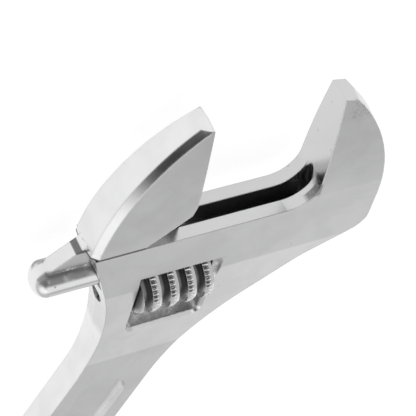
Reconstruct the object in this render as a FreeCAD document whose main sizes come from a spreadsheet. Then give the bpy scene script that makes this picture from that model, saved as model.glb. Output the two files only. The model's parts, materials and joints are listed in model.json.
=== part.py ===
"""Adjustable wrench: a forged body with its fixed jaw, a sliding jaw, and the worm that drives it.

Every piece is drawn in head coordinates and then placed. X runs along the jaw's slide, towards the
fixed jaw. Y runs up the jaws, away from the handle. Z goes through the thickness, with zero halfway.
The head's origin is the corner where the rail's top meets the fixed jaw's gripping face.

In the finished frame +X runs along the handle towards the jaws, +Z goes through the thickness, and
the origin is the centre of the hanging hole.
"""

import FreeCAD, Part
import math
import os
import Sketcher

# Driving dimensions: alias, value in millimetres or degrees, and what it is.
DIMENSIONS = [
    ("overall_length", 254.0, "handle end to the tip of the fixed jaw, along the handle"),
    ("head_angle", 20.0, "degrees between the handle and the gripping faces"),
    ("head_thickness", 10.5, "across the head at the rails"),
    ("jaw_depth", 32.5, "rail top to jaw tip"),
    ("jaw_opening", 31.0, "gap between the gripping faces as drawn"),
    ("tip_thickness", 6.0, "fixed jaw, across its tip"),
    ("taper_proud", 0.015, "height over the face at which the jaws' taper starts"),
    ("rail_length", 54.0, "fixed jaw's gripping face to the open end of the rails"),
    ("root_radius", 7.0, "inside corner between the rail and the fixed jaw"),
    ("forging_draft", 7.0, "degrees that the forging's sides lean in from its parting line"),
    ("machining", 1.2, "metal left on the rails and the fixed jaw for cutting flat"),
    ("fixed_tip_width", 3.6, "fixed jaw, along the slide, at its tip"),
    ("tip_slant", 0.9, "fall of the fixed jaw's tip towards its back"),
    ("fixed_root_width", 17.6, "fixed jaw, along the slide, at rail level"),
    ("fixed_back_radius", 50.0, "curve of the fixed jaw's back"),
    ("heel_drop", 13.4, "rail top down to the heel behind the fixed jaw"),
    ("heel_radius", 6.0, "rounding of the heel"),
    ("throat_drop", 21.0, "rail top down to where the head starts to narrow"),
    ("throat_radius", 24.0, "rounding of that turn"),
    ("neck_reach", 47.0, "head origin to the neck, along the handle"),
    ("neck_width", 21.0, "handle, at the neck"),
    ("neck_radius", 60.0, "blend from the head into the handle"),
    ("handle_offset", 19.0, "handle's centre line to the head origin"),
    ("handle_thickness", 6.8, "handle, across its rims"),
    ("handle_end_width", 25.0, "handle, at its far end"),
    ("handle_end_radius", 15.0, "curve of the far end"),
    ("crease_drop", 15.5, "rail top down to where the faces start to slope to the handle"),
    ("slope_length", 30.0, "length of that slope"),
    ("panel_depth", 1.3, "sunk panel in each side of the handle"),
    ("panel_rim", 4.2, "rim left beside the panel"),
    ("panel_reach", 66.0, "head origin to the start of the panel, along the handle"),
    ("panel_hole_gap", 7.0, "panel's end to the hanging hole's edge"),
    ("hang_hole_radius", 5.5, "hanging hole"),
    ("hang_hole_inset", 12.5, "hanging hole's centre to the handle's end"),
    ("hang_hole_chamfer", 0.6, "hanging hole's chamfer"),
    ("slot_width", 4.0, "slot between the rails"),
    ("slot_overrun", 1.8, "slot's run past the gripping face, under it"),
    ("slot_rise", 8.5, "rail top up to where the slot runs out on the fixed jaw"),
    ("neck_side_gap", 0.15, "jaw's neck to each side of the slot"),
    ("slide_gap", 0.2, "rail top to the sliding jaw's underside"),
    ("rack_drop", 8.9, "rail top down to the rack bar's centre line"),
    ("rack_radius", 4.2, "rack bar"),
    ("rack_gap", 0.15, "rack bar to its channel"),
    ("rack_setback", 1.0, "rack bar's inner end, behind the gripping face"),
    ("rack_overhang", 30.6, "gripping face to the rack bar's outer shoulder"),
    ("rack_cap_length", 3.2, "rounded end beyond that shoulder"),
    ("tooth_depth", 1.75, "rack tooth"),
    ("tooth_tip", 1.15, "rack tooth, across its tip"),
    ("tooth_base", 1.65, "rack tooth, across its base"),
    ("sliding_depth", 33.5, "rail top to the sliding jaw's tip"),
    ("sliding_tip_thickness", 7.0, "sliding jaw, across its tip"),
    ("sliding_base_width", 23.2, "sliding jaw, along the slide, at its base"),
    ("sliding_tip_width", 2.9, "sliding jaw, along the slide, at its tip"),
    ("sliding_back_radius", 47.0, "curve of the sliding jaw's back"),
    ("relief_width", 10.7, "clearance cut under the sliding jaw, along the slide"),
    ("relief_height", 7.8, "clearance cut's height"),
    ("relief_step", 2.7, "top of the clearance cut, where it turns up to the gripping face"),
    ("relief_inset", 0.8, "the same turn, along the slide"),
    ("back_chamfer", 1.3, "bevel down each side of the sliding jaw's back"),
    ("worm_pitch", 4.3, "worm's thread and the rack's teeth"),
    ("worm_radius", 7.9, "worm, over its thread"),
    ("worm_root_radius", 5.2, "worm, under its thread"),
    ("worm_drop", 19.5, "rail top down to the worm's centre line"),
    ("groove_mouth", 2.0, "worm's groove, across its mouth"),
    ("groove_floor", 1.1, "worm's groove, across its floor"),
    ("worm_end_gap", 0.25, "worm to each end of its window"),
    ("groove_lead", 0.1, "worm's end to where its groove passes the rack"),
    ("worm_chamfer", 0.5, "worm's end edges"),
    ("window_near", 22.0, "gripping face to the window's near wall"),
    ("window_length", 17.8, "window, along the slide"),
    ("window_top_drop", 11.5, "rail top down to the window"),
    ("window_height", 21.8, "window, along the jaws"),
    ("window_corner_radius", 1.4, "window's corners"),
    ("window_chamfer", 0.8, "bevel along the window's lower edge"),
    ("scoop_radius", 2.4, "thumb scoop beside the window, at its top"),
    ("scoop_start_radius", 0.6, "the same scoop, at its bottom"),
    ("pin_radius", 2.0, "worm pin's shank"),
    ("pin_head_radius", 2.6, "worm pin's screwed end"),
    ("pin_head_length", 4.0, "worm pin's screwed end"),
    ("pin_recess", 1.2, "worm pin's end, below the body's side"),
    ("pin_slot_width", 0.8, "screwdriver slot"),
    ("pin_slot_depth", 1.0, "screwdriver slot"),
    ("pin_seat_depth", 6.0, "worm pin's run into the body past the window"),
    ("pin_fit", 0.03, "worm pin to its hole in the body"),
    ("worm_fit", 0.06, "worm's bore to the pin"),
    ("spring_wire_radius", 0.28, "worm spring's wire"),
    ("spring_coil_radius", 2.62, "worm spring, to the middle of its wire"),
    ("spring_pitch", 1.35, "worm spring"),
    ("spring_length", 6.2, "worm spring, end to end"),
    ("spring_pocket_radius", 3.3, "pocket for the spring in the worm's end"),
    ("spring_pocket_depth", 6.8, "pocket for the spring in the worm's end"),
]

SHEET = "Dimensions"
OVERSHOOT = 5.0  # how far a cutting shape runs past the material

doc = FreeCAD.newDocument("adjustable_wrench")


def make_sheet():
    """Put every driving dimension in the spreadsheet, one row each."""
    sheet = doc.addObject("Spreadsheet::Sheet", SHEET)
    for row, (alias, value, note) in enumerate(DIMENSIONS, start=1):
        sheet.set(f"A{row}", note)
        sheet.set(f"B{row}", str(value))
        sheet.setAlias(f"B{row}", alias)
    doc.recompute()
    return sheet


sheet = make_sheet()


def cells(expression):
    """Write each dimension's alias in an expression as a reference to its cell."""
    for alias, _, _ in sorted(DIMENSIONS, key=lambda entry: -len(entry[0])):
        expression = expression.replace(f"<{alias}>", f"{SHEET}.{alias}")
    return expression


def value_of(expression):
    """The number that an expression gives with the sheet's present values."""
    result = sheet.evalExpression(cells(expression))
    return float(getattr(result, "Value", result))


def bind(item, name, expression):
    """Tie one property, or one constraint, to the sheet."""
    item.setExpression(name, cells(expression))


# Directions of the handle in head coordinates, for expressions.
SINE = "sin(<head_angle> * 1 deg)"
COSINE = "cos(<head_angle> * 1 deg)"
TIP_REACH = f"(<fixed_tip_width> * {SINE} + (<jaw_depth> - <tip_slant>) * {COSINE})"
HANDLE_END = f"(<overall_length> - {TIP_REACH})"
HANG_HOLE = f"({HANDLE_END} - <hang_hole_inset>)"
END_CURVE = "-<handle_end_radius>"
WINDOW_FAR = "(<window_near> + <window_length>)"


def on_handle(along, across):
    """Head coordinates of a point so far along the handle, and so far to the fixed jaw's side of it."""
    side = f"(({across}) - <handle_offset>)"
    return (
        f"-({along}) * {SINE} + {side} * {COSINE}",
        f"-({along}) * {COSINE} - {side} * {SINE}",
    )


def place(item, along="0", up="0"):
    """Put a piece whose own origin is at this head position into the finished frame."""
    turn = FreeCAD.Rotation(FreeCAD.Vector(0, 0, -1), 90 - value_of("<head_angle>"))
    item.Placement = FreeCAD.Placement(FreeCAD.Vector(), turn)
    bind(item, ".Placement.Rotation.Angle", "90 deg - <head_angle> * 1 deg")
    bind(item, ".Placement.Base.x", f"{HANG_HOLE} + ({along}) * {SINE} + ({up}) * {COSINE}")
    bind(item, ".Placement.Base.y", f"-<handle_offset> - ({along}) * {COSINE} + ({up}) * {SINE}")


def new_body(label):
    body = doc.addObject("PartDesign::Body", label)
    body.Label = label
    return body


def new_sketch(body, name, plane, offset=None):
    """A sketch on one of the body's own origin planes."""
    sketch = body.newObject("Sketcher::SketchObject", name)
    support = next(item for item in body.Origin.OriginFeatures if item.Role == plane)
    sketch.AttachmentSupport = [(support, "")]
    sketch.MapMode = "FlatFace"
    if offset:
        bind(sketch, ".AttachmentOffset.Base.z", offset)
    return sketch


def pin_point(sketch, geometry, point, x, y):
    """Fix one point of the sketch to two expressions."""
    for kind, expression in (("DistanceX", x), ("DistanceY", y)):
        constraint = Sketcher.Constraint(kind, -1, 1, geometry, point, value_of(expression))
        index = sketch.addConstraint(constraint)
        bind(sketch, f"Constraints[{index}]", expression)


def arc_between(start, end, radius):
    """An arc from start to end. A positive radius turns left on the way, and a negative one right."""
    chord = end - start
    middle = (start + end) * 0.5
    height = math.sqrt(max(radius * radius - chord.Length * chord.Length / 4, 0.0))
    left = FreeCAD.Vector(-chord.y, chord.x, 0).normalize()
    centre = middle + left * math.copysign(height, radius)
    circle = Part.Circle(centre, FreeCAD.Vector(0, 0, 1), abs(radius))
    first, last = (start, end) if radius > 0 else (end, start)
    angles = [math.atan2(spot.y - centre.y, spot.x - centre.x) for spot in (first, last)]
    return Part.ArcOfCircle(circle, *angles)


def draw_outline(sketch, corners, rounds=None):
    """Draw a closed outline. Each corner is x, y and, if an arc leaves it, that arc's signed radius.

    The corners numbered in rounds get a tangent arc of the radius given there. Their neighbouring
    edges are straight.
    """
    rounds = rounds or {}
    spots = [FreeCAD.Vector(value_of(c[0]), value_of(c[1]), 0) for c in corners]
    leaving = list(spots)
    arriving = list(spots)
    for number, radius in rounds.items():
        before = (spots[number] - spots[number - 1]).normalize()
        after = (spots[(number + 1) % len(spots)] - spots[number]).normalize()
        reach = value_of(radius) * math.tan(before.getAngle(after) / 2)
        arriving[number] = spots[number] - before * reach
        leaving[number] = spots[number] + after * reach
    edges = []
    for number, corner in enumerate(corners):
        start, end = leaving[number], arriving[(number + 1) % len(spots)]
        edges.append(draw_edge(sketch, start, end, corner[2] if len(corner) == 3 else None))
    for number, corner in enumerate(corners):
        arrival, departure = edges[number - 1][1], edges[number][0]
        if number in rounds:
            bend = draw_bend(sketch, arriving[number], leaving[number], spots, number, rounds)
            sketch.addConstraint(Sketcher.Constraint("Tangent", *arrival, *bend[0]))
            sketch.addConstraint(Sketcher.Constraint("Tangent", *bend[1], *departure))
            mark = sketch.addGeometry(Part.Point(spots[number]), True)
            sketch.addConstraint(Sketcher.Constraint("PointOnObject", mark, 1, arrival[0]))
            sketch.addConstraint(Sketcher.Constraint("PointOnObject", mark, 1, departure[0]))
            pin_point(sketch, mark, 1, corner[0], corner[1])
        else:
            sketch.addConstraint(Sketcher.Constraint("Coincident", *arrival, *departure))
            pin_point(sketch, *departure, corner[0], corner[1])


def draw_edge(sketch, start, end, radius=None):
    """One line, or one arc if there is a radius. Returns its two ends, each as geometry and point."""
    if radius is None:
        index = sketch.addGeometry(Part.LineSegment(start, end), False)
        return (index, 1), (index, 2)
    size = value_of(radius)
    index = sketch.addGeometry(arc_between(start, end, size), False)
    fixed = sketch.addConstraint(Sketcher.Constraint("Radius", index, abs(size)))
    bind(sketch, f"Constraints[{fixed}]", f"abs({radius})")
    return ((index, 1), (index, 2)) if size > 0 else ((index, 2), (index, 1))


def draw_bend(sketch, start, end, spots, number, rounds):
    """The tangent arc that rounds one corner of an outline."""
    into = spots[number] - spots[number - 1]
    out = spots[(number + 1) % len(spots)] - spots[number]
    turns_left = into.cross(out).z > 0
    radius = rounds[number] if turns_left else f"-({rounds[number]})"
    return draw_edge(sketch, start, end, radius)


def draw_circle(sketch, x, y, radius):
    circle = Part.Circle(
        FreeCAD.Vector(value_of(x), value_of(y), 0), FreeCAD.Vector(0, 0, 1), value_of(radius)
    )
    index = sketch.addGeometry(circle, False)
    pin_point(sketch, index, 3, x, y)
    fixed = sketch.addConstraint(Sketcher.Constraint("Radius", index, value_of(radius)))
    bind(sketch, f"Constraints[{fixed}]", radius)


def add_pad(body, name, sketch, length, draft=None):
    """A slab of this thickness, half to each side of its sketch, whose sides may lean in."""
    pad = body.newObject("PartDesign::Pad", name)
    pad.Profile = sketch
    pad.SideType = "Symmetric"
    bind(pad, "Length", length)
    if draft:
        bind(pad, "TaperAngle", f"-({draft})")
    doc.recompute()
    return pad


def cut_pocket(body, name, sketch, length, both_sides=True):
    """Cut a sketch's shape away, this deep, and make sure that it took something."""
    before = body.Shape.Volume
    pocket = body.newObject("PartDesign::Pocket", name)
    pocket.Profile = sketch
    pocket.Type = "Length"
    pocket.Midplane = both_sides
    bind(pocket, "Length", length)
    doc.recompute()
    require_less(body, name, before)
    return pocket


def require_less(body, name, before):
    if body.Shape.Volume >= before - 1e-6:
        raise RuntimeError(f"{name} cut nothing from {body.Label}")


def cut_cylinder(body, name, radius, height, start, direction):
    """Cut a round hole from a start point, given as three expressions, along a direction."""
    before = body.Shape.Volume
    cutter = body.newObject("PartDesign::SubtractiveCylinder", name)
    bind(cutter, "Radius", radius)
    bind(cutter, "Height", height)
    aim(cutter, start, direction)
    doc.recompute()
    require_less(body, name, before)
    return cutter


def cut_cone(body, name, radii, height, start, direction):
    before = body.Shape.Volume
    cutter = body.newObject("PartDesign::SubtractiveCone", name)
    bind(cutter, "Radius1", radii[0])
    bind(cutter, "Radius2", radii[1])
    bind(cutter, "Height", height)
    aim(cutter, start, direction)
    doc.recompute()
    require_less(body, name, before)
    return cutter


def aim(item, start, direction):
    """Stand a cylinder or a cone at a start point, with its axis along a direction."""
    turn = FreeCAD.Rotation(FreeCAD.Vector(0, 0, 1), FreeCAD.Vector(*direction))
    item.Placement = FreeCAD.Placement(FreeCAD.Vector(), turn)
    for axis, expression in zip("xyz", start):
        bind(item, f".Placement.Base.{axis}", expression)


def edges_where(shape, test):
    """Names of the edges for which the test holds."""
    return [f"Edge{number}" for number, edge in enumerate(shape.Edges, start=1) if test(edge)]


def is_upright(edge):
    """Whether an edge runs straight through the thickness."""
    ends = edge.Vertexes
    if len(ends) != 2 or not isinstance(edge.Curve, Part.Line):
        return False
    step = ends[1].Point - ends[0].Point
    return math.hypot(step.x, step.y) < 1e-6


def upright_at(x, y):
    """A test for the upright edge at one place."""
    spot = FreeCAD.Vector(value_of(x), value_of(y), 0)

    def test(edge):
        if not is_upright(edge):
            return False
        end = edge.Vertexes[0].Point
        return math.hypot(end.x - spot.x, end.y - spot.y) < 1e-4

    return test


def dress(body, kind, name, edges, size):
    """Round or bevel some edges of the body as it stands."""
    if not edges:
        raise RuntimeError(f"{name} found no edge on {body.Label}")
    base = body.Tip
    feature = body.newObject(f"PartDesign::{kind}", name)
    feature.Base = (base, edges)
    bind(feature, "Radius" if kind == "Fillet" else "Size", size)
    doc.recompute()
    if feature.Shape.isNull() or not feature.Shape.isValid():
        raise RuntimeError(f"{name} failed on {body.Label}")
    return feature


def round_corner(body, name, corner, radius):
    """Round one corner of an outline."""
    edges = edges_where(body.Shape, upright_at(corner[0], corner[1]))
    dress(body, "Fillet", name, edges, radius)


def mirrored_pockets(body, name, plane, corners, length):
    """Cut one outline, and the same outline on the other side of the mid-plane."""
    for side, sign in (("Front", ""), ("Rear", "-")):
        sketch = new_sketch(body, f"{name}{side}Sketch", plane)
        outline = [(x, f"{sign}({y})", *(f"{sign}({turn})" for turn in arc)) for x, y, *arc in corners]
        draw_outline(sketch, outline)
        cut_pocket(body, f"{name}{side}", sketch, length)


def jaw_taper(body, name, depth, tip):
    """Thin both faces of a jaw towards its tip, in one long curve.

    The curve starts level at the rail, a little proud of the face, and so meets it higher up.
    """
    proud = "(<head_thickness> / 2 + <taper_proud>)"
    fall = f"({proud} - {tip} / 2)"
    curve = f"-(({depth} * {depth} + {fall} * {fall}) / (2 * {fall}))"
    outside = f"<head_thickness> / 2 + {OVERSHOOT}"
    corners = [
        ("0", proud, curve),
        (depth, f"{tip} / 2"),
        (f"{depth} + {OVERSHOOT}", f"{tip} / 4"),
        (f"{depth} + {OVERSHOOT}", outside),
        ("0", outside),
    ]
    mirrored_pockets(body, name, "YZ_Plane", corners, "4 * <overall_length>")


def make_body():
    """The forging: fixed jaw, head and handle in one piece."""
    body = new_body("body")
    right_neck = on_handle("<neck_reach>", "<neck_width> / 2")
    left_neck = on_handle("<neck_reach>", "-<neck_width> / 2")
    right_end = on_handle(f"{HANDLE_END} - <handle_end_width> / 3", "<handle_end_width> / 2")
    left_end = on_handle(f"{HANDLE_END} - <handle_end_width> / 3", "-<handle_end_width> / 2")
    end = on_handle(HANDLE_END, "0")
    sketch = new_sketch(body, "Outline", "XY_Plane")
    draw_outline(sketch, [
        ("-<rail_length>", "<machining>"),
        ("-<machining>", "<machining>"),
        ("-<machining>", "<jaw_depth>"),
        ("0", "<jaw_depth>"),
        ("<fixed_tip_width>", "<jaw_depth> - <tip_slant>", "-<fixed_back_radius>"),
        ("<fixed_root_width>", "-4"),
        ("<fixed_root_width>", "-<heel_drop>"),
        ("2", "-<throat_drop>"),
        right_neck,
        (*right_end, END_CURVE),
        (*end, END_CURVE),
        left_end,
        left_neck,
    ], {
        1: "(<root_radius> - <machining>)",
        6: "<heel_radius>",
        7: "<throat_radius>",
        8: "<neck_radius>",
        12: "<neck_radius>",
    })
    add_pad(body, "Forging", sketch, "<head_thickness>", "<forging_draft>")
    cut_mouth(body)
    jaw_taper(body, "JawTaper", "<jaw_depth>", "<tip_thickness>")
    slope_handle(body)
    cut_panels(body)
    cut_slide(body)
    cut_window(body)
    cut_pin_hole(body)
    cut_hang_hole(body)
    place(body)
    return body


def cut_mouth(body):
    """Cut the rails' tops and the fixed jaw's gripping face flat and square."""
    sketch = new_sketch(body, "MouthSketch", "XY_Plane")
    left, top = f"-<rail_length> - {OVERSHOOT}", f"<jaw_depth> + {OVERSHOOT}"
    draw_outline(sketch, [(left, "0"), ("0", "0"), ("0", top), (left, top)], {1: "<root_radius>"})
    cut_pocket(body, "Mouth", sketch, f"<head_thickness> + {OVERSHOOT}")


def slope_handle(body):
    """Bring both faces down from the head's thickness to the handle's."""
    start = "-<crease_drop>"
    finish = "-(<crease_drop> + <slope_length>)"
    beyond = "-2 * <overall_length>"
    outside = f"<head_thickness> / 2 + {OVERSHOOT}"
    corners = [
        (start, "<head_thickness> / 2"),
        (start, outside),
        (beyond, outside),
        (beyond, "<handle_thickness> / 2"),
        (finish, "<handle_thickness> / 2"),
    ]
    mirrored_pockets(body, "HandleSlope", "YZ_Plane", corners, "4 * <overall_length>")


def cut_panels(body):
    """The sunk panel in each side of the handle."""
    start, finish = "<panel_reach>", f"({HANG_HOLE} - <hang_hole_radius> - <panel_hole_gap>)"
    near = "(<neck_width> / 2 - <panel_rim>)"
    far = "(<handle_end_width> / 2 - <panel_rim>)"
    corners = [
        on_handle(start, near),
        on_handle(finish, far),
        on_handle(finish, f"-{far}"),
        on_handle(start, f"-{near}"),
    ]
    for side, sign in (("Front", ""), ("Rear", "-")):
        sketch = new_sketch(body, f"Panel{side}Sketch", "XY_Plane", f"{sign}<handle_thickness> / 2")
        draw_outline(sketch, corners)
        cut_pocket(body, f"Panel{side}", sketch, "2 * <panel_depth>")
    for number, corner in enumerate(corners):
        round_corner(body, f"PanelCorner{number}", corner, f"{near} * 0.8")


def cut_slide(body):
    """The slot between the rails, and the round channel under it for the rack bar."""
    before = body.Shape.Volume
    bottom = "-<rack_drop>"
    open_end = f"-<rail_length> - {OVERSHOOT}"
    inner_end = "<slot_overrun> - <slot_width> / 2"
    sketch = new_sketch(body, "SlotSketch", "XY_Plane")
    draw_outline(sketch, [
        (open_end, bottom), (inner_end, bottom), (inner_end, "0"),
        (f"{inner_end} - <slot_width> / 2", "<slot_rise>"), (open_end, "<slot_rise>"),
    ])
    cut_pocket(body, "Slot", sketch, "<slot_width>")
    lean = value_of("<slot_width> / 2 / <slot_rise>")
    cut_cylinder(
        body, "SlotEnd", "<slot_width> / 2", "<rack_drop> + <slot_rise>",
        (f"{inner_end} + {lean} * <rack_drop>", bottom, "0"), (-lean, 1, 0),
    )
    cut_cylinder(
        body, "RackChannel", "<rack_radius> + <rack_gap>", f"<rail_length> + {OVERSHOOT} + <slot_overrun>",
        (open_end, bottom, "0"), (1, 0, 0),
    )
    require_less(body, "slide", before)


def cut_window(body):
    """The window that the worm turns in, open to both faces, with a thumb scoop beside it."""
    near, far = "-<window_near>", f"-{WINDOW_FAR}"
    top, bottom = "-<window_top_drop>", "-(<window_top_drop> + <window_height>)"
    corners = [(far, bottom), (near, bottom), (near, top), (far, top)]
    sketch = new_sketch(body, "WindowSketch", "XY_Plane")
    draw_outline(sketch, corners)
    cut_pocket(body, "Window", sketch, f"<head_thickness> + {OVERSHOOT}")
    for number, corner in enumerate(corners[:2]):
        round_corner(body, f"WindowCorner{number}", corner, "<window_corner_radius>")
    for side, sign in (("Front", ""), ("Rear", "-")):
        cut_cone(
            body, f"Scoop{side}", ("<scoop_start_radius>", "<scoop_radius>"), "<window_height>",
            (near, bottom, f"{sign}(<head_thickness> / 2 + 1)"), (0, 1, 0),
        )
    level = value_of(bottom)

    def on_lower_edge(edge):
        box = edge.BoundBox
        return abs(box.YMin - level) < 1e-4 and abs(box.YMax - level) < 1e-4 and box.XLength > 5

    edges = edges_where(body.Shape, on_lower_edge)
    dress(body, "Chamfer", "WindowBevel", edges, "<window_chamfer>")


def cut_pin_hole(body):
    """The stepped hole for the worm's pin, in from the body's open side."""
    far_side = f"-<rail_length> - {OVERSHOOT}"
    height = "-<worm_drop>"
    step = f"{pin_outer_end()} + <pin_head_length>"
    cut_cylinder(
        body, "PinHole", "<pin_radius> + <pin_fit>",
        f"<rail_length> + {OVERSHOOT} - <window_near> + <pin_seat_depth>", (far_side, height, "0"), (1, 0, 0),
    )
    cut_cylinder(
        body, "PinHeadHole", "<pin_head_radius> + <pin_fit>",
        f"({step}) + <rail_length> + {OVERSHOOT} + <pin_fit>", (far_side, height, "0"), (1, 0, 0),
    )


def pin_outer_end():
    """How far along the slide the pin's outer end lies: under the slanted side of the head."""
    neck_x, neck_y = on_handle("<neck_reach>", "-<neck_width> / 2")
    side = f"(-<rail_length> + (({neck_x}) + <rail_length>) * <worm_drop> / -({neck_y}))"
    return f"({side} + <pin_recess>)"


def cut_hang_hole(body):
    x, y = on_handle(HANG_HOLE, "0")
    cut_cylinder(
        body, "HangHole", "<hang_hole_radius>", f"<head_thickness> + {2 * OVERSHOOT}",
        (x, y, f"-<head_thickness> / 2 - {OVERSHOOT}"), (0, 0, 1),
    )
    radius = value_of("<hang_hole_radius>")
    spot = FreeCAD.Vector(value_of(x), value_of(y), 0)

    def is_mouth(edge):
        curve = edge.Curve
        if not isinstance(curve, Part.Circle) or abs(curve.Radius - radius) > 1e-6:
            return False
        return math.hypot(curve.Center.x - spot.x, curve.Center.y - spot.y) < 1e-4

    edges = edges_where(body.Shape, is_mouth)
    dress(body, "Chamfer", "HangHoleBevel", edges, "<hang_hole_chamfer>")


def make_sliding_jaw():
    """The sliding jaw, with its neck and rack bar. Its own X is measured from its gripping face."""
    body = new_body("movable_jaw")
    below = "(<slide_gap> - <machining>)"
    sketch = new_sketch(body, "Outline", "XY_Plane")
    draw_outline(sketch, [
        ("-<sliding_tip_width>", "<sliding_depth>", "<sliding_back_radius>"),
        ("-<sliding_base_width>", "<slide_gap>"),
        ("-<sliding_base_width>", below),
        ("<machining>", below),
        ("<machining>", "<sliding_depth>"),
    ])
    add_pad(body, "Forging", sketch, "<head_thickness>", "<forging_draft>")
    cut_faces(body)
    jaw_taper(body, "JawTaper", "<sliding_depth>", "<sliding_tip_thickness>")
    bevel_back(body)
    neck = new_sketch(body, "NeckSketch", "XY_Plane")
    shoulder = "-<rack_overhang>"
    draw_outline(neck, [
        (shoulder, "-<rack_drop>"), ("-<rack_setback>", "-<rack_drop>"),
        ("-<rack_setback>", "<relief_height> + 4"), ("-<sliding_base_width> + 6", "<relief_height> + 4"),
        ("-<sliding_base_width> - 0.3", "0.8"), (shoulder, "-<rack_drop> + <rack_radius>"),
    ])
    add_pad(body, "Neck", neck, "<slot_width> - 2 * <neck_side_gap>")
    add_rack(body)
    place(body, "-<jaw_opening>")
    return body


def cut_faces(body):
    """Cut the sliding jaw's gripping face, its slide, and the bevel between them, flat and square."""
    left, top = f"-<sliding_base_width> - {OVERSHOOT}", f"<sliding_depth> + {OVERSHOOT}"
    sketch = new_sketch(body, "FacesSketch", "XY_Plane")
    draw_outline(sketch, [
        (left, f"-{OVERSHOOT}"),
        (str(OVERSHOOT), f"-{OVERSHOOT}"),
        (str(OVERSHOOT), top),
        ("0", top),
        ("0", "<relief_height> + <relief_step>"),
        ("-<relief_inset>", "<relief_height>"),
        ("-<relief_width>", "<slide_gap>"),
        (left, "<slide_gap>"),
    ])
    cut_pocket(body, "Faces", sketch, f"<head_thickness> + {OVERSHOOT}")


def bevel_back(body):
    """Bevel both long edges of the sliding jaw's curved back."""
    inboard = value_of("-<sliding_tip_width> - <back_chamfer>")
    middle_height = value_of("<sliding_depth> / 4")
    clear = value_of("<sliding_tip_thickness> / 4")

    def test(edge):
        spot = edge.valueAt((edge.FirstParameter + edge.LastParameter) / 2)
        return spot.x < inboard and spot.y > middle_height and abs(spot.z) > clear and not is_upright(edge)

    dress(body, "Chamfer", "BackBevel", edges_where(body.Shape, test), "<back_chamfer>")


def add_rack(body):
    """The rack bar with its rounded outer end, and the worm's teeth cut across its underside."""
    bar = body.newObject("PartDesign::AdditiveCylinder", "RackBar")
    bind(bar, "Radius", "<rack_radius>")
    bind(bar, "Height", "<rack_overhang> - <rack_setback>")
    aim(bar, ("-<rack_overhang>", "-<rack_drop>", "0"), (1, 0, 0))
    doc.recompute()
    cap = body.newObject("PartDesign::AdditiveEllipsoid", "RackCap")
    bind(cap, "Radius1", "<rack_cap_length>")
    bind(cap, "Radius2", "<rack_radius>")
    bind(cap, "Radius3", "<rack_radius>")
    aim(cap, ("-<rack_overhang>", "-<rack_drop>", "0"), (1, 0, 0))
    doc.recompute()
    cut_teeth(body)


def first_tooth():
    """The first gap between teeth: where the worm's first whole turn faces the bar, at rest."""
    return f"({groove_start()} + <worm_pitch> / 2 + <jaw_opening>)"


def groove_start():
    """Where the worm's groove passes its own top for the first time, along the slide."""
    return f"(-{WINDOW_FAR} + <worm_end_gap> + <groove_lead>)"


def cut_teeth(body):
    """Gaps between the rack's teeth, leaned to the worm's helix, one pitch apart."""
    pitch = value_of("<worm_pitch>")
    lean = pitch / (2 * math.pi * value_of("<worm_radius> - <tooth_depth> / 2"))
    shallow = 1 - value_of("<tooth_depth> / <rack_radius>")
    cap = value_of("<rack_cap_length>") * math.sqrt(1 - shallow * shallow)
    outer = value_of("-<rack_overhang> - (<worm_pitch> - <tooth_base>) / 2") - cap
    inner = value_of("-<rack_setback> + (<worm_pitch> - <tooth_tip>) / 2")
    middle = value_of(first_tooth())
    low = math.ceil((outer - middle) / pitch)
    high = math.floor((inner - middle) / pitch)
    for number in range(low, high + 1):
        spot = f"{first_tooth()} + {number} * <worm_pitch>"
        sketch = new_sketch(body, f"ToothGapSketch{number - low}", "XY_Plane")
        draw_outline(sketch, [
            (f"{spot} - (<worm_pitch> - <tooth_base>) / 2", "-<rack_drop> - <rack_radius> + <tooth_depth>"),
            (f"{spot} + (<worm_pitch> - <tooth_base>) / 2", "-<rack_drop> - <rack_radius> + <tooth_depth>"),
            (f"{spot} + (<worm_pitch> - <tooth_tip>) / 2", "-<rack_drop> - <rack_radius> - 0.5"),
            (f"{spot} - (<worm_pitch> - <tooth_tip>) / 2", "-<rack_drop> - <rack_radius> - 0.5"),
        ])
        before = body.Shape.Volume
        pocket = body.newObject("PartDesign::Pocket", f"ToothGap{number - low}")
        pocket.Profile = sketch
        pocket.SideType = "Symmetric"
        pocket.UseCustomVector = True
        pocket.Direction = FreeCAD.Vector(lean, 0, 1)
        bind(pocket, "Length", f"2 * <rack_radius> + {OVERSHOOT}")
        doc.recompute()
        require_less(body, pocket.Label, before)


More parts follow.
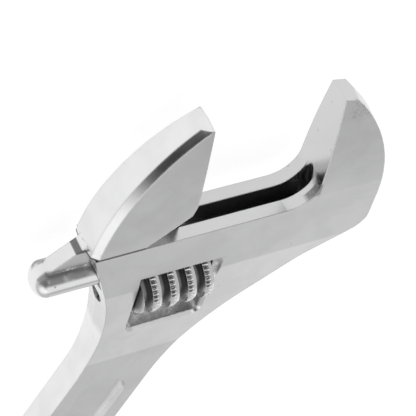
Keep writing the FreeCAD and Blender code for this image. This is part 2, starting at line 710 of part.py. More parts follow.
def make_worm():
    """The worm: a thread of rectangular-looking turns with a bore for its pin and a spring pocket."""
    body = new_body("worm")
    length = "(<window_length> - 2 * <worm_end_gap>)"
    sketch = new_sketch(body, "BlankSketch", "YZ_Plane")
    draw_circle(sketch, "0", "0", "<worm_radius>")
    blank = body.newObject("PartDesign::Pad", "Blank")
    blank.Profile = sketch
    bind(blank, "Length", length)
    doc.recompute()
    ends = edges_where(body.Shape, lambda edge: isinstance(edge.Curve, Part.Circle))
    dress(body, "Chamfer", "EndBevel", ends, "<worm_chamfer>")
    groove = new_sketch(body, "GrooveSketch", "XY_Plane")
    start = "(<groove_lead> - 2 * <worm_pitch>)"
    draw_outline(groove, [
        (f"{start} - <groove_floor> / 2", "<worm_root_radius>"),
        (f"{start} + <groove_floor> / 2", "<worm_root_radius>"),
        (f"{start} + <groove_mouth> / 2", "<worm_radius>"),
        (f"{start} + <groove_mouth> / 2", "<worm_radius> + 0.6"),
        (f"{start} - <groove_mouth> / 2", "<worm_radius> + 0.6"),
        (f"{start} - <groove_mouth> / 2", "<worm_radius>"),
    ])
    before = body.Shape.Volume
    helix = body.newObject("PartDesign::SubtractiveHelix", "Thread")
    helix.Profile = groove
    helix.ReferenceAxis = (groove, ["H_Axis"])
    helix.Mode = "pitch-height-angle"
    bind(helix, "Pitch", "<worm_pitch>")
    bind(helix, "Height", f"{length} + 4 * <worm_pitch>")
    doc.recompute()
    require_less(body, "Thread", before)
    cut_cylinder(
        body, "Bore", "<pin_radius> + <worm_fit>", f"{length} + {2 * OVERSHOOT}",
        (f"-{OVERSHOOT}", "0", "0"), (1, 0, 0),
    )
    cut_cylinder(
        body, "SpringPocket", "<spring_pocket_radius>", f"<spring_pocket_depth> + {OVERSHOOT}",
        (f"{length} - <spring_pocket_depth>", "0", "0"), (1, 0, 0),
    )
    place(body, f"-{WINDOW_FAR} + <worm_end_gap>", "-<worm_drop>")
    return body


def make_pin():
    """The worm's pin, with a slotted outer end that screws into the body."""
    body = new_body("worm_pin")
    reach = f"(-<window_near> + <pin_seat_depth> - <pin_fit> - {pin_outer_end()})"
    for name, radius, length in (
        ("Head", "<pin_head_radius>", "<pin_head_length>"), ("Shank", "<pin_radius>", reach),
    ):
        rod = body.newObject("PartDesign::AdditiveCylinder", name)
        bind(rod, "Radius", radius)
        bind(rod, "Height", length)
        aim(rod, ("0", "0", "0"), (1, 0, 0))
        doc.recompute()
    sketch = new_sketch(body, "DriverSlotSketch", "XY_Plane")
    wide = f"<pin_head_radius> + {OVERSHOOT}"
    draw_outline(sketch, [
        (f"-{OVERSHOOT}", f"-({wide})"), ("<pin_slot_depth>", f"-({wide})"),
        ("<pin_slot_depth>", wide), (f"-{OVERSHOOT}", wide),
    ])
    cut_pocket(body, "DriverSlot", sketch, "<pin_slot_width>")
    place(body, pin_outer_end(), "-<worm_drop>")
    return body


def make_spring():
    """The coil spring round the pin, in the worm's end pocket, that takes up the worm's end play."""
    body = new_body("worm_spring")
    sketch = new_sketch(body, "WireSketch", "XY_Plane")
    draw_circle(sketch, "<spring_wire_radius>", "<spring_coil_radius>", "<spring_wire_radius>")
    coil = body.newObject("PartDesign::AdditiveHelix", "Coil")
    coil.Profile = sketch
    coil.ReferenceAxis = (sketch, ["H_Axis"])
    coil.Mode = "pitch-height-angle"
    bind(coil, "Pitch", "<spring_pitch>")
    bind(coil, "Height", "<spring_length> - 2 * <spring_wire_radius>")
    doc.recompute()
    place(body, "-<window_near> - <spring_length> - 0.05", "-<worm_drop>")
    return body


def check(pieces):
    """Stop before anything is written if a step failed."""
    for item in doc.Objects:
        if {"Invalid", "Error"} & set(item.State):
            raise RuntimeError(f"{item.Name} did not compute: {item.State}")
    for piece in pieces:
        shape = piece.Shape
        if shape.isNull() or not shape.isValid() or len(shape.Solids) != 1:
            raise RuntimeError(f"{piece.Label} is not one valid solid")


def main():
    pieces = [make_body(), make_sliding_jaw(), make_worm(), make_pin(), make_spring()]
    doc.recompute()
    check(pieces)
    os.makedirs("parts", exist_ok=True)
    for piece in pieces:
        piece.Shape.exportStep(f"parts/{piece.Label}.step")
        box = piece.Shape.BoundBox
        print(piece.Label, round(piece.Shape.Volume, 1), [round(side, 2) for side in (
            box.XMin, box.XMax, box.YMin, box.YMax, box.ZMin, box.ZMax)])


main()
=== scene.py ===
"""Looks of the adjustable wrench: nickel-chromed steel, a knurled worm, a pale table and soft studio light."""

import json
import math

import bmesh
import bpy
from mathutils import Matrix, Vector


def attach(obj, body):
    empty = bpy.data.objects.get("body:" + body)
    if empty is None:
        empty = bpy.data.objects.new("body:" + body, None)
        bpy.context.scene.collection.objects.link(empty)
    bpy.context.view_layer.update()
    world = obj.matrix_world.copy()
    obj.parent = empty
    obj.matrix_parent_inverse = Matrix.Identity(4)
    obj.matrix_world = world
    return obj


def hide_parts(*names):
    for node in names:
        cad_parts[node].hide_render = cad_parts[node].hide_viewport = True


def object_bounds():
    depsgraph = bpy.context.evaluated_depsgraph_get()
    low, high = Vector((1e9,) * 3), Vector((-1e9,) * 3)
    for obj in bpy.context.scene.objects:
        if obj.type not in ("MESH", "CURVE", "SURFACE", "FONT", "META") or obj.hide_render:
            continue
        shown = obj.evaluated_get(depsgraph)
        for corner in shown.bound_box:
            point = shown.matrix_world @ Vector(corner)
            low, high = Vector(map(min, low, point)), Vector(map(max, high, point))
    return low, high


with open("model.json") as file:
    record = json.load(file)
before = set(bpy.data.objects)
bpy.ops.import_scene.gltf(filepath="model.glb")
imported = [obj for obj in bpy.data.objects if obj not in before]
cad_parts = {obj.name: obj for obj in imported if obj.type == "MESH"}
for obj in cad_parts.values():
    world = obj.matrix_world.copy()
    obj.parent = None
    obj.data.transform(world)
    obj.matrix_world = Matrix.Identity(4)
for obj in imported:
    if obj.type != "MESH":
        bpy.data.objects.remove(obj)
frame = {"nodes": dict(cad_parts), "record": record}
CAD_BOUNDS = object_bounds()

MM = 0.001

# ---------------------------------------------------------------- where the head is
# The head's own axes: ALONG is the way the jaw closes, UP is up the jaws, OUT is out of the front face.
HEAD_ANGLE = math.radians(20)
ALONG = Vector((math.sin(HEAD_ANGLE), -math.cos(HEAD_ANGLE), 0))
UP = Vector((math.cos(HEAD_ANGLE), math.sin(HEAD_ANGLE), 0))
OUT = Vector((0, 0, 1))
WORM_JOINT = next(joint for joint in frame["record"]["behaviour"]["joints"] if joint["name"] == "worm_turn")
WORM_CENTRE = Vector(WORM_JOINT["pos_m"])
WORM_DROP = 19.5 * MM  # rail top down to the worm's centre line
WORM_BEHIND = 30.9 * MM  # gripping face back to the middle of the worm
HEAD = WORM_CENTRE + ALONG * WORM_BEHIND + UP * WORM_DROP  # the rail top's end at the fixed gripping face

# Sizes on the head, in millimetres along its axes.
SLOT_HALF_WIDTH = 2.0
SLOT_OUTER_END, SLOT_INNER_END = -53.7, 2.4
CHANNEL_HALF_WIDTH = 4.2
CHANNEL_BOTTOM, CHANNEL_TOP = -13.2, -5.0
WINDOW_OUTER_END, WINDOW_INNER_END = -39.9, -19.4
WINDOW_BOTTOM, WINDOW_TOP = -33.4, -11.4
HEAD_HALF_THICKNESS = 5.0
THINNING_START = -15.5
THINNING = 0.062  # how fast the forging thins below there
RACK_TEETH_TOP = -11.9


# ---------------------------------------------------------------- node helpers
class Nodes:
    """A short way to write a node tree."""

    def __init__(self, tree):
        self.tree = tree
        tree.nodes.clear()

    def add(self, kind, **settings):
        node = self.tree.nodes.new(kind)
        inputs = settings.pop("inputs", {})
        for name, value in settings.items():
            setattr(node, name, value)
        for name, value in inputs.items():
            self.feed(node.inputs[name], value)
        return node

    def feed(self, socket, value):
        if isinstance(value, bpy.types.NodeSocket):
            self.tree.links.new(value, socket)
        else:
            socket.default_value = value

    def math(self, operation, *values, clamp=False):
        node = self.add("ShaderNodeMath", operation=operation, use_clamp=clamp)
        for socket, value in zip(node.inputs, values):
            self.feed(socket, value)
        return node.outputs[0]

    def dot(self, vector, axis):
        node = self.add("ShaderNodeVectorMath", operation="DOT_PRODUCT")
        self.feed(node.inputs[0], vector)
        node.inputs[1].default_value = axis
        return node.outputs["Value"]

    def fade(self, value, low, high, start=0.0, finish=1.0):
        node = self.add("ShaderNodeMapRange", interpolation_type="SMOOTHSTEP")
        self.feed(node.inputs["Value"], value)
        node.inputs["From Min"].default_value = low
        node.inputs["From Max"].default_value = high
        node.inputs["To Min"].default_value = start
        node.inputs["To Max"].default_value = finish
        return node.outputs["Result"]

    def noise(self, vector, scale, detail=4.0, roughness=0.5, distortion=0.0):
        return self.add("ShaderNodeTexNoise", inputs={
            "Vector": vector, "Scale": scale, "Detail": detail, "Roughness": roughness, "Distortion": distortion,
        }).outputs["Fac"]

    def mix(self, factor, first, second):
        node = self.add("ShaderNodeMix", data_type="RGBA")
        self.feed(node.inputs[0], factor)
        self.feed(node.inputs[6], first)
        self.feed(node.inputs[7], second)
        return node.outputs[2]


def head_distance(nodes, point, axis):
    """Distance along one of the head's axes, in millimetres, from the head's corner."""
    return nodes.math("MULTIPLY", nodes.math("SUBTRACT", nodes.dot(point, axis), HEAD.dot(axis)), 1000.0)


def band(nodes, value, low, high, soft):
    """One between low and high, fading to nothing over the soft distance outside."""
    return nodes.math("MULTIPLY", nodes.fade(value, low - soft, low), nodes.fade(value, high, high + soft, 1.0, 0.0))


# ---------------------------------------------------------------- plated steel
PIT_COLOUR = (0.10, 0.10, 0.105, 1.0)
# Second colour: a smudge's dark stain, and mostly painted shade in recesses, grooves and between parts.
SHADE_AND_DIRT_COLOUR = (0.20, 0.197, 0.197, 1.0)


def darker(tint, share):
    return tuple(channel * share for channel in tint[:3]) + (1.0,)


def plated_steel(name, tint, roughness, edge, pits=0.5, stain_and_shade=None, dull_and_shade_mask=None):
    """Polished nickel-chrome over forged steel: soft edges, fine grinding, cloudy wear and small pits.

    edge is the radius of the soft edges in millimetres, stain says where stains and painted shade lie, and dull
    where the plating is a little darker and more pitted, which on the sliding jaw is painted shade towards its tip.
    """
    material = bpy.data.materials.new(name)
    material.use_nodes = True
    nodes = Nodes(material.node_tree)
    place = nodes.add("ShaderNodeTexCoord").outputs["Object"]
    cloud = nodes.noise(place, 95.0, 5.0, 0.55, 0.4)
    grain = nodes.noise(place, 1400.0, 3.0, 0.6)
    patches = nodes.noise(place, 260.0, 4.0, 0.6)

    stretch = nodes.add("ShaderNodeMapping", inputs={
        "Vector": place, "Rotation": (0.0, 0.0, HEAD_ANGLE), "Scale": (2600.0, 170.0, 900.0),
    }).outputs["Vector"]
    scratches = nodes.noise(stretch, 1.0, 2.0, 0.7)

    cells = nodes.add("ShaderNodeTexVoronoi", feature="F1", inputs={
        "Vector": place, "Scale": 620.0, "Randomness": 1.0,
    })
    near_cell = nodes.fade(cells.outputs["Distance"], 0.10, 0.24, 1.0, 0.0)
    chosen = nodes.fade(cells.outputs["Color"], 0.70, 0.78)
    crowd = nodes.fade(patches, 0.52, 0.66)
    dull_and_shade = dull_and_shade_mask(nodes, place) if dull_and_shade_mask else 0.0
    crowd = nodes.math("ADD", crowd, nodes.math("MULTIPLY", dull_and_shade, 0.6), clamp=True)
    pit = nodes.math("MULTIPLY", nodes.math("MULTIPLY", near_cell, chosen), crowd)
    pit = nodes.math("MULTIPLY", pit, pits, clamp=True)

    worn_and_shaded = nodes.mix(nodes.fade(cloud, 0.35, 0.68), tint, darker(tint, 0.93))
    # Darker where the dull mask is: milled faces on the body, and painted shade towards the sliding jaw's tip.
    worn_and_shaded = nodes.mix(dull_and_shade, worn_and_shaded, darker(tint, 0.78))
    colour = nodes.mix(nodes.math("MULTIPLY", pit, 0.75), worn_and_shaded, PIT_COLOUR)
    rough = nodes.math("ADD", roughness, nodes.math("MULTIPLY", nodes.math("SUBTRACT", patches, 0.5), 0.10))
    rough = nodes.math("ADD", rough, nodes.math("MULTIPLY", pit, 0.35), clamp=True)
    # Stains and painted shade: the stain mask mixes the colour towards the dark colour.
    if stain_and_shade:
        shade_and_dirt = stain_and_shade(nodes, place, patches, grain)
        colour = nodes.mix(shade_and_dirt, colour, SHADE_AND_DIRT_COLOUR)
        rough = nodes.math("ADD", rough, nodes.math("MULTIPLY", shade_and_dirt, 0.30), clamp=True)

    rounded = nodes.add("ShaderNodeBevel", samples=4, inputs={"Radius": edge * MM}).outputs["Normal"]
    height = nodes.math("ADD", nodes.math("MULTIPLY", scratches, 0.25), nodes.math("MULTIPLY", grain, 0.18))
    height = nodes.math("SUBTRACT", height, nodes.math("MULTIPLY", pit, 2.2))
    height = nodes.math("ADD", height, nodes.math("MULTIPLY", cloud, 0.5))
    bump = nodes.add("ShaderNodeBump", inputs={
        "Strength": 0.30, "Distance": 0.05 * MM, "Height": height, "Normal": rounded,
    }).outputs["Normal"]
    shader = nodes.add("ShaderNodeBsdfPrincipled", inputs={
        "Base Color": colour, "Metallic": 1.0, "Roughness": rough, "Normal": bump,
    })
    out = nodes.add("ShaderNodeOutputMaterial")
    nodes.tree.links.new(shader.outputs[0], out.inputs["Surface"])
    return material


def milled_faces(nodes, place):
    """The body's milled faces, a little darker and more pitted: rail tops, gripping face and the head's ends."""
    normal = nodes.add("ShaderNodeTexCoord").outputs["Normal"]
    up = head_distance(nodes, place, UP)
    upward = nodes.fade(nodes.dot(normal, UP), 0.45, 0.75)
    backward = nodes.fade(nodes.dot(normal, -ALONG), 0.45, 0.75)
    return nodes.math("MULTIPLY", nodes.math("MAXIMUM", upward, backward), nodes.fade(up, -34.0, -30.0))


def jaw_tip_painted_shade(nodes, place):
    """Painted shade on the sliding jaw's broad faces, darker towards its tip."""
    out = head_distance(nodes, place, OUT)
    front = nodes.fade(nodes.math("ABSOLUTE", out), 3.0, 3.4)
    return nodes.math("MULTIPLY", nodes.fade(head_distance(nodes, place, UP), 14.0, 30.0, 0.0, 0.9), front)


def recess_shade_and_smudge(nodes, place, patches, grain):
    """Painted shade in the slide's slot, its run-out, the rack's channel, the worm's window and the fixed jaw's root
    corner, and a smudge near the fixed jaw's tip.
    """
    along = head_distance(nodes, place, ALONG)
    up = head_distance(nodes, place, UP)
    out = head_distance(nodes, place, OUT)
    depth = nodes.math("ABSOLUTE", out)
    inside = band(nodes, along, SLOT_OUTER_END, SLOT_INNER_END, 0.1)
    between = nodes.math("MULTIPLY", nodes.fade(depth, SLOT_HALF_WIDTH, SLOT_HALF_WIDTH + 0.05, 1.0, 0.0), inside)
    # Painted shade down inside the slot, at its run-out into the fixed jaw, and in the rack's channel.
    slot = nodes.math("MULTIPLY", between, band(nodes, up, -14.0, -0.35, 0.3))
    run_out = nodes.fade(depth, SLOT_HALF_WIDTH - 0.1, SLOT_HALF_WIDTH + 0.03, 1.0, 0.0)
    run_out = nodes.math("MULTIPLY", run_out, band(nodes, along, -3.4, SLOT_INNER_END, 0.1))
    run_out = nodes.math("MULTIPLY", run_out, nodes.fade(along, -0.25, 0.05, 1.0, 0.0))
    run_out = nodes.math("MULTIPLY", run_out, band(nodes, up, -0.6, 6.6, 1.0))
    channel = nodes.fade(depth, CHANNEL_HALF_WIDTH, CHANNEL_HALF_WIDTH + 0.2, 1.0, 0.0)
    channel = nodes.math("MULTIPLY", channel, band(nodes, up, CHANNEL_BOTTOM, CHANNEL_TOP, 0.1))
    channel = nodes.math("MULTIPLY", channel, inside)

    below = nodes.math("MAXIMUM", nodes.math("SUBTRACT", THINNING_START, up), 0.0)
    face = nodes.math("SUBTRACT", HEAD_HALF_THICKNESS, nodes.math("MULTIPLY", below, THINNING))
    under_face = nodes.math("SUBTRACT", face, depth)
    # Painted shade in the worm's window, speckled by noise.
    window = nodes.math("MULTIPLY", band(nodes, along, WINDOW_OUTER_END, WINDOW_INNER_END, 0.1),
                        band(nodes, up, WINDOW_BOTTOM, WINDOW_TOP, 0.1))
    window = nodes.math("MULTIPLY", window, nodes.fade(under_face, 0.0, 0.5))
    scale = nodes.fade(nodes.math("ADD", patches, nodes.math("MULTIPLY", grain, 0.6)), 0.62, 0.92)
    window = nodes.math("MULTIPLY", window, nodes.math("ADD", 0.12, nodes.math("MULTIPLY", scale, 0.55)))

    # Painted shade on the front face at the fixed jaw's root corner.
    corner = nodes.math("MULTIPLY", band(nodes, along, -2.4, 0.2, 0.5), band(nodes, up, 2.4, 6.2, 1.2))
    corner = nodes.math("MULTIPLY", corner, band(nodes, out, 3.6, 5.12, 0.4))
    corner = nodes.math("MULTIPLY", corner, nodes.math("MULTIPLY", nodes.fade(patches, 0.40, 0.55), 0.8))
    tip = nodes.math("MULTIPLY", band(nodes, along, 3.2, 8.5, 2.0), band(nodes, up, 27.4, 31.5, 2.6))
    tip = nodes.math("MULTIPLY", tip, nodes.fade(out, 2.2, 2.8))
    tip = nodes.math("MULTIPLY", tip, nodes.math("MULTIPLY", nodes.fade(grain, 0.42, 0.66), 0.42))
    shade_and_dirt = nodes.math("MAXIMUM", nodes.math("MAXIMUM", slot, run_out), nodes.math("MAXIMUM", channel, window))
    shade_and_dirt = nodes.math("MULTIPLY", shade_and_dirt, nodes.math("SUBTRACT", 1.0, nodes.math("MULTIPLY", scale, 0.08)))
    return nodes.math("MAXIMUM", shade_and_dirt, nodes.math("MAXIMUM", corner, tip), clamp=True)


def worm_groove_shade(nodes, place, patches, grain):
    """Painted shade in the worm's groove and in the bottom of its knurl, darker at smaller radius."""
    offset = nodes.add("ShaderNodeVectorMath", operation="SUBTRACT")
    nodes.feed(offset.inputs[0], place)
    offset.inputs[1].default_value = WORM_CENTRE
    cross = nodes.add("ShaderNodeVectorMath", operation="CROSS_PRODUCT")
    nodes.feed(cross.inputs[0], offset.outputs["Vector"])
    cross.inputs[1].default_value = ALONG
    size = nodes.add("ShaderNodeVectorMath", operation="LENGTH")
    nodes.feed(size.inputs[0], cross.outputs["Vector"])
    radius = nodes.math("MULTIPLY", size.outputs["Value"], 1000.0)
    uneven = nodes.math("ADD", radius, nodes.math("MULTIPLY", nodes.math("SUBTRACT", patches, 0.5), 0.9))
    return nodes.math("MULTIPLY", nodes.fade(uneven, 6.0, 7.5, 1.0, 0.0), 0.85)


def rack_painted_shade(nodes, place, patches, grain):
    """Painted shade between the rack's teeth, along the bar's top, beside its neck and under the jaw's foot."""
    out = nodes.math("ABSOLUTE", head_distance(nodes, place, OUT))
    up = head_distance(nodes, place, UP)
    angle = nodes.math("MULTIPLY", band(nodes, up, -6.3, -4.6, 0.5), band(nodes, out, 1.6, 3.4, 0.5))
    angle = nodes.math("MULTIPLY", angle, nodes.fade(patches, 0.36, 0.52))
    teeth = nodes.fade(up, RACK_TEETH_TOP, RACK_TEETH_TOP + 0.6, 1.0, 0.0)
    back = nodes.math("MULTIPLY", band(nodes, up, -6.5, -5.2, 0.7), nodes.fade(patches, 0.34, 0.50, 0.6, 1.2))
    angle = nodes.math("MAXIMUM", angle, nodes.math("MULTIPLY", back, nodes.fade(out, 1.9, 2.4)))
    foot = band(nodes, up, -0.2, 0.55, 0.25)
    # Painted shade, at 0.62 in the teeth and along the bar, and in full under the foot.
    return nodes.math("MAXIMUM", nodes.math("MULTIPLY", nodes.math("MAXIMUM", angle, teeth), 0.62), foot, clamp=True)


# ---------------------------------------------------------------- the knurled worm
# Millimetres. All but the knurl and the shoulder are the CAD worm's own sizes.
WORM_LENGTH = 17.3
CREST_RADIUS = 7.9
ROOT_RADIUS = 5.2
PITCH = 4.3
GROOVE_MOUTH = 2.0
GROOVE_FLOOR = 1.1
GROOVE_LEAD = 0.1
END_BEVEL = 0.5
BORE_RADIUS = 2.06
SPRING_POCKET_RADIUS = 3.3
SPRING_POCKET_DEPTH = 6.8
FLUTES = 39
FLUTE_DEPTH = 0.55
KNURL_WIDTH = 1.4
SHOULDER_DROP = 0.40
STEPS_PER_FLUTE = 6


def smooth(value):
    value = min(max(value, 0.0), 1.0)
    return value * value * (3.0 - 2.0 * value)


def thread_stations():
    """Distances across one turn of the thread, from the middle of one groove to the next."""
    half_floor, half_mouth = GROOVE_FLOOR / 2.0, GROOVE_MOUTH / 2.0
    crest = PITCH - GROOVE_MOUTH
    knurl = [KNURL_WIDTH * part for part in (0.0, 0.07, 0.16, 0.30, 0.50, 0.70, 0.84, 1.0)]
    shoulder = [KNURL_WIDTH + (crest - KNURL_WIDTH) * part / 4.0 for part in range(1, 5)]
    return [0.0, half_floor] + [half_mouth + spot for spot in knurl + shoulder] + [PITCH - half_floor]


def thread_radius(across, turn):
    """Radius of the thread: a deep groove, a knurled band and a rounded shoulder."""
    off = min(across, PITCH - across)
    wall = (off - GROOVE_FLOOR / 2.0) / ((GROOVE_MOUTH - GROOVE_FLOOR) / 2.0)
    radius = ROOT_RADIUS + (CREST_RADIUS - ROOT_RADIUS) * min(max(wall, 0.0), 1.0)
    crest = across - GROOVE_MOUTH / 2.0
    width = PITCH - GROOVE_MOUTH
    if crest < -1e-6 or crest > width + 1e-6:
        return radius
    wave = 0.5 - 0.5 * math.cos(turn * FLUTES)
    knurl = smooth((crest + 0.05) / 0.25) * smooth((KNURL_WIDTH - crest) / 0.25)
    slope = smooth((crest - KNURL_WIDTH) / (width - KNURL_WIDTH))
    return radius - FLUTE_DEPTH * knurl * wave ** 1.4 - SHOULDER_DROP * slope


def thread_skin():
    """The thread as one helical strip in its own axes, cut square at both ends and bevelled there."""
    around = FLUTES * STEPS_PER_FLUTE
    turns = math.ceil(WORM_LENGTH / PITCH) + 2
    stations = thread_stations()
    skin = bmesh.new()
    rows = []
    for step in range(-2 * around, (turns + 1) * around + 1):
        turn = 2.0 * math.pi * step / around
        row = []
        for across in stations:
            radius = thread_radius(across, turn)
            along = GROOVE_LEAD + PITCH * turn / (2.0 * math.pi) + across
            row.append(skin.verts.new((along, radius * math.cos(turn), radius * math.sin(turn))))
        rows.append(row)
    for step, row in enumerate(rows[:-1]):
        following = rows[step + 1]
        for spot in range(len(stations) - 1):
            skin.faces.new((row[spot], row[spot + 1], following[spot + 1], following[spot]))
        if step + around + 1 < len(rows):
            skin.faces.new((row[-1], rows[step + around][0], rows[step + around + 1][0], following[-1]))
    for place, way, clear in ((0.0, -1, True), (WORM_LENGTH, 1, True), (END_BEVEL, 1, False),
                              (WORM_LENGTH - END_BEVEL, 1, False)):
        everything = skin.verts[:] + skin.edges[:] + skin.faces[:]
        bmesh.ops.bisect_plane(skin, geom=everything, plane_co=(place, 0, 0), plane_no=(way, 0, 0),
                               clear_outer=clear)
    for vert in skin.verts:
        from_end = min(vert.co.x, WORM_LENGTH - vert.co.x)
        radius = math.hypot(vert.co.y, vert.co.z)
        limit = CREST_RADIUS - END_BEVEL + from_end
        if from_end < END_BEVEL and radius > limit:
            vert.co.y *= limit / radius
            vert.co.z *= limit / radius
    return skin


def close_end(skin, place, rings):
    """Close one end of the thread: a flat face in to the bore, and the bore's rings after it."""
    rim = [vert for vert in skin.verts if abs(vert.co.x - place) < 1e-6 and vert.is_boundary]
    rim.sort(key=lambda vert: math.atan2(vert.co.z, vert.co.y))
    angles = [math.atan2(vert.co.z, vert.co.y) for vert in rim]
    for along, radius in rings:
        ring = [skin.verts.new((along, radius * math.cos(turn), radius * math.sin(turn))) for turn in angles]
        for spot in range(len(rim)):
            beside = (spot + 1) % len(rim)
            skin.faces.new((rim[spot], rim[beside], ring[beside], ring[spot]))
        rim = ring


def make_worm(material):
    """The knurled thread with both end faces, the bore and the spring's pocket."""
    skin = thread_skin()
    middle = WORM_LENGTH / 2.0
    close_end(skin, 0.0, [(0.0, BORE_RADIUS), (middle, BORE_RADIUS)])
    pocket = WORM_LENGTH - SPRING_POCKET_DEPTH
    close_end(skin, WORM_LENGTH, [(WORM_LENGTH, SPRING_POCKET_RADIUS), (pocket, SPRING_POCKET_RADIUS),
                                  (pocket, BORE_RADIUS), (middle, BORE_RADIUS)])
    bmesh.ops.recalc_face_normals(skin, faces=skin.faces[:])
    start = WORM_CENTRE - ALONG * (middle * MM)
    for vert in skin.verts:
        along, up, out = vert.co
        vert.co = start + (ALONG * along + UP * up + OUT * out) * MM
    mesh = bpy.data.meshes.new("worm_knurled")
    skin.to_mesh(mesh)
    skin.free()
    for polygon in mesh.polygons:
        polygon.use_smooth = True
    mesh.set_sharp_from_angle(angle=math.radians(42))
    mesh.materials.append(material)
    worm = bpy.data.objects.new("worm_knurled", mesh)
    bpy.context.scene.collection.objects.link(worm)
    return worm


# ---------------------------------------------------------------- dress the parts
CHROME = (0.80, 0.80, 0.805, 1.0)
# The body: painted shade in its recesses, a smudge near the fixed jaw's tip, and darker milled faces.
body_steel = plated_steel("chrome_body", CHROME, 0.22, 0.35, stain_and_shade=recess_shade_and_smudge, dull_and_shade_mask=milled_faces)
# The sliding jaw: painted shade on its rack, along its bar and under its foot, and painted shade towards its tip.
jaw_steel = plated_steel("chrome_jaw", CHROME, 0.20, 0.50, stain_and_shade=rack_painted_shade, dull_and_shade_mask=jaw_tip_painted_shade)
# The worm: painted shade in its groove.
worm_steel = plated_steel("chrome_worm", (0.80, 0.80, 0.80, 1.0), 0.17, 0.05, pits=0.8, stain_and_shade=worm_groove_shade)
pin_steel = plated_steel("pin_steel", (0.42, 0.42, 0.43, 1.0), 0.36, 0.12, pits=0.3)
spring_steel = plated_steel("spring_steel", (0.30, 0.30, 0.31, 1.0), 0.34, 0.05, pits=0.2)


def give(name, material):
    node = frame["nodes"][name]
    node.data.materials.clear()
    node.data.materials.append(material)


give("body", body_steel)
give("movable_jaw", jaw_steel)
give("worm_pin", pin_steel)
give("worm_spring", spring_steel)

worm = make_worm(worm_steel)
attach(worm, "worm")
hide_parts("worm")

# ---------------------------------------------------------------- table
table_material = bpy.data.materials.new("pale_table")
table_material.use_nodes = True
table = Nodes(table_material.node_tree)
mottle = table.noise(table.add("ShaderNodeTexCoord").outputs["Object"], 6.0, 3.0)
paper = table.mix(mottle, (0.24, 0.24, 0.24, 1.0), (0.28, 0.28, 0.28, 1.0))
paper_shader = table.add("ShaderNodeBsdfPrincipled", inputs={
    "Base Color": paper, "Roughness": 0.9, "Emission Color": (1.0, 1.0, 1.0, 1.0), "Emission Strength": 0.85,
})
table_out = table.add("ShaderNodeOutputMaterial")
table.tree.links.new(paper_shader.outputs[0], table_out.inputs["Surface"])

TABLE_HALF = 3.0
TABLE_DROP = 0.2 * MM
low = min(CAD_BOUNDS[0][2], CAD_BOUNDS[1][2]) - TABLE_DROP
table_mesh = bpy.data.meshes.new("table")
table_mesh.from_pydata(
    [(-TABLE_HALF, -TABLE_HALF, low), (TABLE_HALF, -TABLE_HALF, low),
     (TABLE_HALF, TABLE_HALF, low), (-TABLE_HALF, TABLE_HALF, low)], [], [(0, 1, 2, 3)])
table_mesh.materials.append(table_material)
table_object = bpy.data.objects.new("table", table_mesh)
bpy.context.scene.collection.objects.link(table_object)


# ---------------------------------------------------------------- studio
def toward(azimuth, elevation):
    """Unit vector, from degrees round from +X and degrees above the table."""
    turn, rise = math.radians(azimuth), math.radians(elevation)
    return Vector((math.cos(rise) * math.cos(turn), math.cos(rise) * math.sin(turn), math.sin(rise)))


# Soft patches of the room: azimuth, elevation, inner and outer radius in degrees, and brightness.
ROOM_PATCHES = (
    (238, 46, 12, 34, 0.50),  # grey wall behind the tool, seen in its front faces
    (235, 10, 8, 24, 0.86),  # pale strip under that wall
    (30, 58, 14, 34, 1.05),  # ceiling panel
    (0, 14, 22, 44, 0.10),  # dark wall, seen in the rack bar
    (76, 58, 12, 24, 0.04),  # dark flag, seen in the sliding jaw's bevel
    (150, 40, 12, 28, 1.16),  # bright panel, seen in the same bevel lower down
)


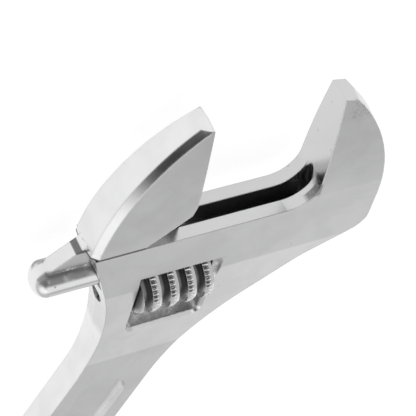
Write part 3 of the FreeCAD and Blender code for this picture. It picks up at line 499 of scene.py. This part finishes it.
def studio_world():
    """A pale room with a dimmer ceiling, soft patches, and plain white where the camera looks past the table."""
    world = bpy.data.worlds.new("studio")
    bpy.context.scene.world = world
    world.use_nodes = True
    nodes = Nodes(world.node_tree)
    ray = nodes.add("ShaderNodeTexCoord").outputs["Generated"]
    rise = nodes.dot(ray, (0.0, 0.0, 1.0))
    level = nodes.fade(rise, 0.70, 0.92, 0.62, 0.46)
    for azimuth, elevation, inner, outer, brightness in ROOM_PATCHES:
        near = nodes.dot(ray, toward(azimuth, elevation))
        amount = nodes.fade(near, math.cos(math.radians(outer)), math.cos(math.radians(inner)))
        change = nodes.math("MULTIPLY", amount, nodes.math("SUBTRACT", brightness, level))
        level = nodes.math("ADD", level, change)

    shown = nodes.add("ShaderNodeLightPath").outputs["Is Camera Ray"]
    level = nodes.math("ADD", nodes.math("MULTIPLY", level, nodes.math("SUBTRACT", 1.0, shown)), shown)
    background = nodes.add("ShaderNodeBackground", inputs={"Strength": level})
    background.inputs["Color"].default_value = (1.0, 1.0, 1.0, 1.0)
    out = nodes.add("ShaderNodeOutputWorld")
    nodes.tree.links.new(background.outputs[0], out.inputs["Surface"])


def soft_light(name, azimuth, elevation, distance, side, power):
    light = bpy.data.lights.new(name, "AREA")
    light.shape = "SQUARE"
    light.size = side
    light.energy = power
    lamp = bpy.data.objects.new(name, light)
    way = toward(azimuth, elevation)
    lamp.matrix_world = Matrix.Translation(HEAD + way * distance) @ way.to_track_quat("Z", "Y").to_matrix().to_4x4()
    bpy.context.scene.collection.objects.link(lamp)


studio_world()
soft_light("soft_key", 200, 68, 1.2, 1.0, 1.6)

# ---------------------------------------------------------------- camera
AIM_BEYOND_HANG_HOLE = 203.5 * MM  # the middle of the view, on the tool's mid-plane
AIM_ACROSS = 4.4 * MM
VIEW_AZIMUTH = 47.161
VIEW_ELEVATION = 29.704
VIEW_ROLL = 150.908
VIEW_DISTANCE = 361.4 * MM
FOCAL_LENGTH = 144.78

camera_data = bpy.data.cameras.new("camera")
camera_data.sensor_fit = "HORIZONTAL"
camera_data.sensor_width = 36.0
camera_data.lens = FOCAL_LENGTH
camera_data.clip_start = 0.005
camera_data.clip_end = 20.0
camera = bpy.data.objects.new("camera", camera_data)
back = toward(VIEW_AZIMUTH, VIEW_ELEVATION)
level_right = Vector((0, 0, 1)).cross(back).normalized()
level_up = back.cross(level_right)
roll = math.radians(VIEW_ROLL)
right = level_right * math.cos(roll) + level_up * math.sin(roll)
above = level_up * math.cos(roll) - level_right * math.sin(roll)
turned = Matrix((right, above, back)).transposed().to_4x4()
aim = Vector((AIM_BEYOND_HANG_HOLE, AIM_ACROSS, 0.0))
camera.matrix_world = Matrix.Translation(aim + back * VIEW_DISTANCE) @ turned
bpy.context.scene.collection.objects.link(camera)
bpy.context.scene.camera = camera

bpy.context.scene.view_settings.view_transform = "Standard"
bpy.context.scene.view_settings.look = "None"
